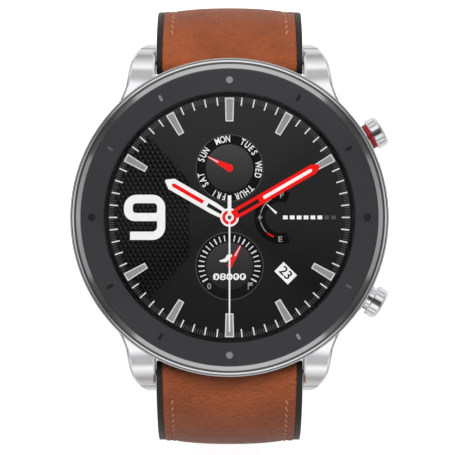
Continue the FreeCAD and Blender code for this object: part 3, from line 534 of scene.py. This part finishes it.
# ---------------------------------------------------------------- hands
# Lit hour, minute and second hands stand one over the other on a ringed hub.
printed("hour_hand", [along(150, [(1.0, 0.72), (2.6, 0.885), (9.9, 0.885), (10.95, 0.12), (10.95, -0.12),
                                  (9.9, -0.885), (2.6, -0.885), (1.0, -0.72)]),
                      along(150, [(1.35, 0.26), (3.75, 0.3), (3.75, -0.3), (1.35, -0.26)])], 9, white)
printed("hour_insert", [along(150, [(4.5, 0.285), (9.5, 0.285), (9.8, 0.12), (9.8, -0.12), (9.5, -0.285),
                                    (4.5, -0.285)])], 10, signal_red)
printed("minute_hand", [along(30, [(0.9, 0.66), (1.6, 0.75), (14.3, 0.75), (15.25, 0.3), (15.25, -0.3),
                                   (14.3, -0.75), (1.6, -0.75), (0.9, -0.66)]),
                        along(30, [(1.45, 0.27), (5.0, 0.3), (5.0, -0.3), (1.45, -0.27)])], 11, signal_red)
printed("minute_insert", [along(30, [(5.8, 0.25), (13.8, 0.25), (14.1, 0.1), (14.1, -0.1), (13.8, -0.25),
                                     (5.8, -0.25)])], 12, white)
printed("hub_white", [disc(1.37), disc(1.08)], 10, white)
printed("hub_red", [disc(1.08), disc(0.62)], 13, signal_red)
printed("second_hand", [bar(-90, 0.5, 16.9, 0.26, 0.2), bar(90, 0.5, 3.25, 0.53)], 14, white)
printed("hub_cap", [disc(0.62), disc(0.3)], 15, white)
printed("hub_centre", [disc(0.3)], 15, dim_grey)

# ---------------------------------------------------------------- strap
# Each half is a black rubber base with a padded brown leather facing, sewn down along
# both sides with waxed thread. The facing is crowned and creases where it bends.
UPPER_BENDS = [(11.6, 65, 26), (204, 11.6, 42)]
LOWER_BENDS = [(15.6, 68, 36), (150, 11.0, 30), (26, 79, 44), (400, 2.2, 18)]
BAR_REACH, BAR_HEIGHT = 23.4, 3.3
MARGIN, SEW_IN = 0.85, 1.45
HOLE_PITCH, HOLE_RADIUS, HOLES = 6.0, 1.05, 8
KEYWAY_WIDTH, KEYWAY_LENGTH, CUTTER_DEPTH = 3.4, 6.0, 8
STITCH_PITCH, STITCH_LENGTH, STITCH_RADIUS, STITCH_SLANT = 1.3, 1.2, 0.15, 0.42
STITCH_STEPS, STITCH_SIDES = 6, 8


def run_of_bends(heading, bends):
    """Stations down a strap half: distance, distance from the dial's middle, height, heading."""
    travelled, y, z = 0.0, BAR_REACH, BAR_HEIGHT
    stations = [(travelled, y, z, heading)]
    for radius, turn, steps in bends:
        first = math.radians(heading)
        for step in range(1, steps + 1):
            angle = first - math.radians(turn) * step / steps
            stations.append((travelled + radius * math.radians(turn) * step / steps,
                             y + radius * (math.sin(first) - math.sin(angle)),
                             z - radius * (math.cos(first) - math.cos(angle)), math.degrees(angle)))
        travelled, y, z, heading = stations[-1]
    return stations


def table(pairs, value):
    """Straight-line value from a short list of pairs."""
    for (a, low), (b, high) in zip(pairs, pairs[1:]):
        if value <= b:
            return low + (high - low) * max(0.0, value - a) / (b - a)
    return pairs[-1][1]


def station_at(stations, distance):
    for first, last in zip(stations, stations[1:]):
        if distance <= last[0]:
            share = (distance - first[0]) / (last[0] - first[0])
            return tuple(a + (b - a) * share for a, b in zip(first, last))
    return stations[-1]


def spot(station, aside, height, sign):
    """A point beside and above a station, on the upper (1) or lower (-1) half."""
    angle = math.radians(station[3])
    y = station[1] - height * math.sin(angle)
    z = station[2] + height * math.cos(angle)
    return Vector((aside * MM, sign * y * MM, z * MM))


def skin(name, rings):
    """A closed form from cross sections, with a flat face at each end."""
    mesh = bmesh.new()
    rows = [[mesh.verts.new(point) for point in ring] for ring in rings]
    count = len(rows[0])
    for near, far in zip(rows, rows[1:]):
        for i in range(count):
            mesh.faces.new((near[i], near[(i + 1) % count], far[(i + 1) % count], far[i]))
    mesh.faces.new(list(reversed(rows[0])))
    mesh.faces.new(rows[-1])
    bmesh.ops.recalc_face_normals(mesh, faces=mesh.faces[:])
    for face in mesh.faces:
        face.smooth = len(face.verts) == 4
    data = bpy.data.meshes.new(name)
    mesh.to_mesh(data)
    mesh.free()
    made = bpy.data.objects.new(name, data)
    bpy.context.scene.collection.objects.link(made)
    return made


def leather_section(station, half, low, high, crown, sign):
    """Rounded edges, sewn channels and padded middle of the facing, as a closed loop."""
    edge_radius = min(0.42, (high - low) * 0.7)
    flat_half, channel = half - edge_radius, half - SEW_IN
    bend_share = math.exp(-((station[0] - 8) / 7) ** 2)
    ripple = 0.035 * math.sin(station[0] * 2.3) * bend_share
    outline = []
    for i in range(45):
        aside = flat_half * (i - 22) / 22
        share = min(1.0, abs(aside) / channel)
        pad = crown * (1 - share ** 2.4)
        groove = -0.16 * math.exp(-((abs(aside) - channel) / 0.30) ** 2)
        outline.append((aside, high + pad + groove + ripple * (1 - share)))
    round_over = []
    for step in range(1, 7):
        turn = math.pi / 12 * step
        drop = edge_radius * (1 - math.cos(turn))
        round_over.append((flat_half + edge_radius * math.sin(turn), high - drop))
    outline += round_over + [(half, low)]
    outline += [(-x, z) for x, z in reversed(round_over + [(half, low)])]
    return [spot(station, x, z, sign) for x, z in outline]


def strap_sizes(end, tail):
    """The tables of half width, seam, leather top and crown down one half."""
    half = [(0, 11.0), (12, 10.9), (end * 0.6, 10.2), (end - tail, 10.0)]
    if tail:
        half += [(end - tail * 0.5, 9.3), (end - tail * 0.15, 6.8), (end, 4.0)]
    seam = [(0, 1.44), (2, 1.32), (6, 0.47), (12, 0.12), (end, 0.02)]
    top = [(0, 2.0), (3, 1.9), (8, 1.75), (end, 1.15)]
    crown = [(0, 0.05), (2, 0.1), (5, 0.45), (12, 0.55), (end * 0.7, 0.3), (end, 0.15)]
    return half, seam, top, crown


def cut_away(made, cutters):
    """Take holes and slots out of a piece and drop the forms that cut them."""
    for cutter in cutters:
        step = made.modifiers.new("opening", "BOOLEAN")
        step.object = cutter
        step.solver = "EXACT"
        step.operation = "DIFFERENCE"
    bpy.context.view_layer.update()
    shape = bpy.data.meshes.new_from_object(made.evaluated_get(bpy.context.evaluated_depsgraph_get()))
    made.modifiers.clear()
    made.data = shape
    for cutter in cutters:
        bpy.data.objects.remove(cutter)


def hole_cutter(station, radius, sign):
    """A round bar through the strap at one station."""
    mesh = bmesh.new()
    bmesh.ops.create_cone(mesh, cap_ends=True, segments=28, radius1=radius * MM, radius2=radius * MM,
                          depth=CUTTER_DEPTH * MM)
    data = bpy.data.meshes.new("cutter")
    mesh.to_mesh(data)
    mesh.free()
    cutter = bpy.data.objects.new("cutter", data)
    bpy.context.scene.collection.objects.link(cutter)
    angle = math.radians(station[3]) * sign
    cutter.matrix_world = Matrix.Translation(spot(station, 0, 0, sign)) @ Matrix.Rotation(angle, 4, "X")
    return cutter


def make_leather_group():
    """Leather grain: small rounded cells, fine creases across the strap and open pores."""
    group, given, result = new_group("leather_grain", [
        ("Cell Scale", "NodeSocketFloat", 1500.0),
        ("Crease Scale", "NodeSocketFloat", 260.0),
        ("Crease Weight", "NodeSocketFloat", 0.5),
    ], [("Height", "NodeSocketFloat"), ("Crease", "NodeSocketFloat"), ("Pore", "NodeSocketFloat")])
    place = node(group, "TexCoord")
    cells = node(group, "TexVoronoi", feature="SMOOTH_F1")
    across = node(group, "VectorMath", operation="MULTIPLY")
    across.inputs[1].default_value = (0.35, 1.0, 1.0)
    creases = node(group, "TexNoise")
    creases.inputs["Detail"].default_value = 5.0
    creases.inputs["Distortion"].default_value = 0.8
    pores = node(group, "TexNoise")
    pores.inputs["Scale"].default_value = 3600.0
    weigh = node(group, "Math", operation="MULTIPLY")
    total = node(group, "Math", operation="ADD")
    link = group.links.new
    link(place.outputs["Object"], cells.inputs["Vector"])
    link(given.outputs["Cell Scale"], cells.inputs["Scale"])
    link(place.outputs["Object"], across.inputs[0])
    link(across.outputs[0], creases.inputs["Vector"])
    link(given.outputs["Crease Scale"], creases.inputs["Scale"])
    link(place.outputs["Object"], pores.inputs["Vector"])
    link(creases.outputs["Fac"], weigh.inputs[0])
    link(given.outputs["Crease Weight"], weigh.inputs[1])
    link(cells.outputs["Distance"], total.inputs[0])
    link(weigh.outputs[0], total.inputs[1])
    link(total.outputs[0], result.inputs["Height"])
    link(creases.outputs["Fac"], result.inputs["Crease"])
    link(pores.outputs["Fac"], result.inputs["Pore"])
    return group


leather_group = make_leather_group()


def leather_finish(name, dark_tone, mid_tone, light_tone):
    """Aniline brown leather: a little cloudy, darker in its creases, with pores that vary its roughness."""
    finish, tree, shader = new_finish(name, mid_tone, 0.5, Specular_IOR_Level=0.22)
    grain = add_group(tree, leather_group,
                      **{"Cell Scale": 2400.0, "Crease Scale": 3200.0, "Crease Weight": 1.2})
    cloud = add_group(tree, drift_group, Scale=110.0, Light=(*light_tone, 1), Dark=(*mid_tone, 1))
    into_dark = node(tree, "Mix", data_type="RGBA")
    into_dark.inputs[7].default_value = (*dark_tone, 1)
    span = node(tree, "MapRange")
    span.inputs["From Min"].default_value = 0.46
    span.inputs["From Max"].default_value = 0.8
    span.inputs["To Max"].default_value = 0.5
    rough = node(tree, "MapRange")
    rough.inputs["To Min"].default_value = 0.34
    rough.inputs["To Max"].default_value = 0.60
    relief = node(tree, "Bump")
    relief.inputs["Strength"].default_value = 0.9
    relief.inputs["Distance"].default_value = 0.00020
    link = tree.links.new
    link(cloud.outputs["Colour"], into_dark.inputs[6])
    link(grain.outputs["Crease"], span.inputs["Value"])
    link(span.outputs["Result"], into_dark.inputs["Factor"])
    link(into_dark.outputs[2], shader.inputs["Base Color"])
    link(grain.outputs["Pore"], rough.inputs["Value"])
    link(rough.outputs["Result"], shader.inputs["Roughness"])
    link(grain.outputs["Height"], relief.inputs["Height"])
    link(relief.outputs["Normal"], shader.inputs["Normal"])
    return finish


brown_leather = leather_finish("brown_leather", (0.075, 0.019, 0.008), (0.215, 0.054, 0.019),
                               (0.275, 0.070, 0.024))
strap_rubber = grained("strap_rubber", (0.010, 0.010, 0.010), (0.007, 0.007, 0.007), 0.42, 0.58,
                       scale=2600, bump=0.2, Specular_IOR_Level=0.35)
waxed_thread = grained("waxed_thread", (0.48, 0.19, 0.10), (0.38, 0.145, 0.075), 0.5, 0.7,
                       scale=5000, bump=0.5)
wear(strap_rubber, "upper_strap_base", "lower_strap_base", "keeper_fixed", "keeper_free")

# The two keepers are moulded rubber loops with slightly rounded edges.
for keeper in ("keeper_fixed", "keeper_free"):
    nodes[keeper].modifiers.new("joined_faces", "WELD").merge_threshold = 0.000001
    moulded_edge = nodes[keeper].modifiers.new("moulded_edge", "BEVEL")
    moulded_edge.width = 0.25 * MM
    moulded_edge.segments = 3
    moulded_edge.limit_method = "ANGLE"

wear(brushed_steel, "upper_spring_bar", "lower_spring_bar", "upper_release_tip", "lower_release_tip")
wear(drawn_wire, "upper_release_spring", "lower_release_spring")


def make_facing(side, bends, heading, tail, sign):
    """The leather facing of one half, its adjustment holes and its two rows of stitches."""
    run = run_of_bends(heading, bends)
    end = run[-1][0]
    half, seam, top, crown = strap_sizes(end, tail)
    wrapped = [(-0.15 * step, run[0][1], run[0][2], heading + 6 * step) for step in range(22, 0, -1)]
    last = end - (0.8 if tail else 1.75)
    stations = wrapped + [s for s in run if s[0] < last] + [station_at(run, last)]
    rings = []
    for station in stations:
        width = table(half, station[0]) - MARGIN
        from_end = min(last - station[0], 1.2)
        squeeze = 0.45 + 0.55 * math.sqrt(max(0.0, 1 - (1 - from_end / 1.2) ** 2))
        low = table(seam, station[0])
        high = low + (table(top, station[0]) - low) * squeeze
        rings.append(leather_section(station, width, low, high, table(crown, station[0]) * squeeze, sign))
    facing = skin(side + "_facing", rings)
    if tail:
        cut_away(facing, [hole_cutter(station_at(run, end - 17 - i * HOLE_PITCH), HOLE_RADIUS, sign)
                          for i in range(HOLES)])
    else:
        keyway = station_at(run, end - 1.6)
        mesh = bmesh.new()
        bmesh.ops.create_cube(mesh, size=1)
        data = bpy.data.meshes.new("cutter")
        mesh.to_mesh(data)
        mesh.free()
        cutter = bpy.data.objects.new("cutter", data)
        bpy.context.scene.collection.objects.link(cutter)
        cutter.matrix_world = (Matrix.Translation(spot(keyway, 0, 0, sign))
                               @ Matrix.Rotation(math.radians(keyway[3]) * sign, 4, "X")
                               @ Matrix.Diagonal((KEYWAY_WIDTH * MM, KEYWAY_LENGTH * MM,
                                                  CUTTER_DEPTH * MM, 1)))
        cut_away(facing, [cutter])
    settle(facing, side + "_facing", brown_leather, side + "_strap")
    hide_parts(side + "_strap_leather")
    stitches = bmesh.new()
    start, finish = 3.4, end - (9.5 if tail else 5.5)
    for number in range(int((finish - start) / STITCH_PITCH)):
        for aside_sign in (-1, 1):
            previous = None
            for step in range(STITCH_STEPS + 1):
                share = step / STITCH_STEPS
                arch = math.sin(math.pi * share)
                station = station_at(run, start + number * STITCH_PITCH + share * STITCH_LENGTH)
                seam_line = table(half, station[0]) - MARGIN - SEW_IN
                aside = aside_sign * (seam_line + STITCH_SLANT * (share - 0.5))
                height = table(top, station[0]) - 0.14 + STITCH_RADIUS * (1.1 * arch - 0.4)
                width = STITCH_RADIUS * (0.55 + 0.45 * arch)
                ring = []
                for corner in range(STITCH_SIDES):
                    turn = math.tau * corner / STITCH_SIDES
                    ring.append(stitches.verts.new(spot(station, aside + width * 1.1 * math.cos(turn),
                                                        height + width * 0.8 * math.sin(turn), sign)))
                if previous:
                    for i in range(STITCH_SIDES):
                        after = (i + 1) % STITCH_SIDES
                        face = stitches.faces.new((previous[i], previous[after], ring[after], ring[i]))
                        face.smooth = True
                else:
                    stitches.faces.new(list(reversed(ring)))
                previous = ring
            stitches.faces.new(previous)
    bmesh.ops.recalc_face_normals(stitches, faces=stitches.faces[:])
    data = bpy.data.meshes.new(side + "_stitches")
    stitches.to_mesh(data)
    stitches.free()
    sewn = bpy.data.objects.new(side + "_stitches", data)
    bpy.context.scene.collection.objects.link(sewn)
    settle(sewn, side + "_stitches", waxed_thread, side + "_strap")


make_facing("upper", UPPER_BENDS, -25, 0, 1)
make_facing("lower", LOWER_BENDS, -22, 9.0, -1)

# ---------------------------------------------------------------- buckle
# A polished steel frame turns on a plain bar through the strap's end, with a bent tongue.
wear(polished_steel, "buckle_frame", "buckle_bar", "buckle_tongue")

# ---------------------------------------------------------------- floor, light and camera
# A pale floor below the strap inside a soft light tent: white panels before and behind, grey
# ones at the sides and dark gaps between them, with the camera straight over the dial.
low_point = min(corner[2] for corner in cad_box)
floor_mesh = bmesh.new()
bmesh.ops.create_grid(floor_mesh, x_segments=1, y_segments=1, size=3.0)
floor_data = bpy.data.meshes.new("floor")
floor_mesh.to_mesh(floor_data)
floor_mesh.free()
floor = bpy.data.objects.new("floor", floor_data)
bpy.context.scene.collection.objects.link(floor)
floor.location.z = low_point - 0.0005
floor_finish, floor_tree, floor_shader = new_finish("floor_paper", (0.5, 0.5, 0.5), 0.9,
                                                    Emission_Color=(1, 1, 1, 1))
floor_path = node(floor_tree, "LightPath")
floor_glow = node(floor_tree, "MapRange")
floor_glow.inputs["To Min"].default_value = 0.24
floor_glow.inputs["To Max"].default_value = 0.84
floor_tree.links.new(floor_path.outputs["Is Camera Ray"], floor_glow.inputs["Value"])
floor_tree.links.new(floor_glow.outputs["Result"], floor_shader.inputs["Emission Strength"])
floor_data.materials.append(floor_finish)


def soft_key(name, place, width, power):
    """A wide lamp aimed at the dial that fills without showing in the steel or glass."""
    light = bpy.data.lights.new(name, "AREA")
    light.shape = "DISK"
    light.size = width
    light.energy = power
    lamp = bpy.data.objects.new(name, light)
    bpy.context.scene.collection.objects.link(lamp)
    lamp.location = place
    lamp.rotation_euler = (-Vector(place)).to_track_quat("-Z", "Y").to_euler()
    lamp.visible_glossy = False
    lamp.visible_transmission = False
    return lamp


soft_key("key_above", (0, 0.20, 0.68), 0.30, 6.2)


def ramp(tree, stops):
    """Grey levels against a value, as a colour ramp."""
    made = node(tree, "ValToRGB")
    points = made.color_ramp.elements
    while len(points) < len(stops):
        points.new(1.0)
    for point, (place, level) in zip(points, stops):
        point.position = place
        point.color = (level, level, level, 1)
    return made


world = bpy.data.worlds.new("light_tent")
bpy.context.scene.world = world
world.use_nodes = True
tent = world.node_tree
sky = tent.nodes["Background"]
way = node(tent, "TexCoord")
split = node(tent, "SeparateXYZ")
flat = node(tent, "CombineXYZ")
reach = node(tent, "VectorMath", operation="LENGTH")
share = node(tent, "Math", operation="DIVIDE")
size = node(tent, "Math", operation="ABSOLUTE")
low_panels = ramp(tent, [(0.0, 0.32), (0.38, 0.26), (0.43, 0.012), (0.76, 0.012), (0.80, 0.42), (0.97, 0.46),
                          (0.995, 0.50)])
high_panels = ramp(tent, [(0.0, 0.95), (0.40, 0.55), (0.62, 0.30), (0.80, 1.00), (1.0, 1.20)])
rise = ramp(tent, [(0.02, 0.0), (0.30, 1.0)])
roof = ramp(tent, [(0.34, 1.0), (0.44, 0.50), (0.60, 0.50), (0.72, 1.0), (0.90, 1.0), (0.965, 0.11)])
blend = node(tent, "Mix", data_type="RGBA")
crown_mix = node(tent, "Mix", data_type="RGBA", blend_type="MULTIPLY")
crown_mix.inputs["Factor"].default_value = 1.0
seen = node(tent, "Background")
seen.inputs["Color"].default_value = (1, 1, 1, 1)
choice = node(tent, "MixShader")
path = node(tent, "LightPath")
fill = node(tent, "MapRange")
fill.name = "less_light_on_matt_surfaces"
fill.inputs["To Min"].default_value = 1.0
fill.inputs["To Max"].default_value = 0.55
wire = tent.links.new
wire(way.outputs["Generated"], split.inputs[0])
wire(split.outputs["X"], flat.inputs["X"])
wire(split.outputs["Y"], flat.inputs["Y"])
wire(flat.outputs[0], reach.inputs[0])
wire(split.outputs["Y"], share.inputs[0])
wire(reach.outputs["Value"], share.inputs[1])
wire(share.outputs[0], size.inputs[0])
wire(size.outputs[0], low_panels.inputs["Fac"])
wire(size.outputs[0], high_panels.inputs["Fac"])
wire(split.outputs["Z"], rise.inputs["Fac"])
wire(split.outputs["Z"], roof.inputs["Fac"])
wire(rise.outputs["Color"], blend.inputs["Factor"])
wire(low_panels.outputs["Color"], blend.inputs[6])
wire(high_panels.outputs["Color"], blend.inputs[7])
wire(blend.outputs[2], crown_mix.inputs[6])
wire(roof.outputs["Color"], crown_mix.inputs[7])
wire(crown_mix.outputs[2], sky.inputs["Color"])
wire(path.outputs["Is Diffuse Ray"], fill.inputs["Value"])
wire(fill.outputs["Result"], sky.inputs["Strength"])
wire(path.outputs["Is Camera Ray"], choice.inputs[0])
wire(sky.outputs[0], choice.inputs[1])
wire(seen.outputs[0], choice.inputs[2])
wire(choice.outputs[0], tent.nodes["World Output"].inputs["Surface"])
bpy.context.scene.view_settings.view_transform = "Standard"

CAMERA_HEIGHT, DIAL_SCALE, FRAME = 0.380, 6780.0, 455
glass_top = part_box("cover_glass")[1].z
camera_data = bpy.data.cameras.new("camera")
camera_data.sensor_width = 36
camera_data.lens = DIAL_SCALE * 36 * (CAMERA_HEIGHT - glass_top) / FRAME
camera_data.shift_x = -2.0 / FRAME
camera_data.shift_y = -10.1 / FRAME
camera_data.clip_start = 0.01
camera_data.clip_end = 20
camera = bpy.data.objects.new("camera", camera_data)
bpy.context.scene.collection.objects.link(camera)
camera.location = (0, 0, CAMERA_HEIGHT)
bpy.context.scene.camera = camera
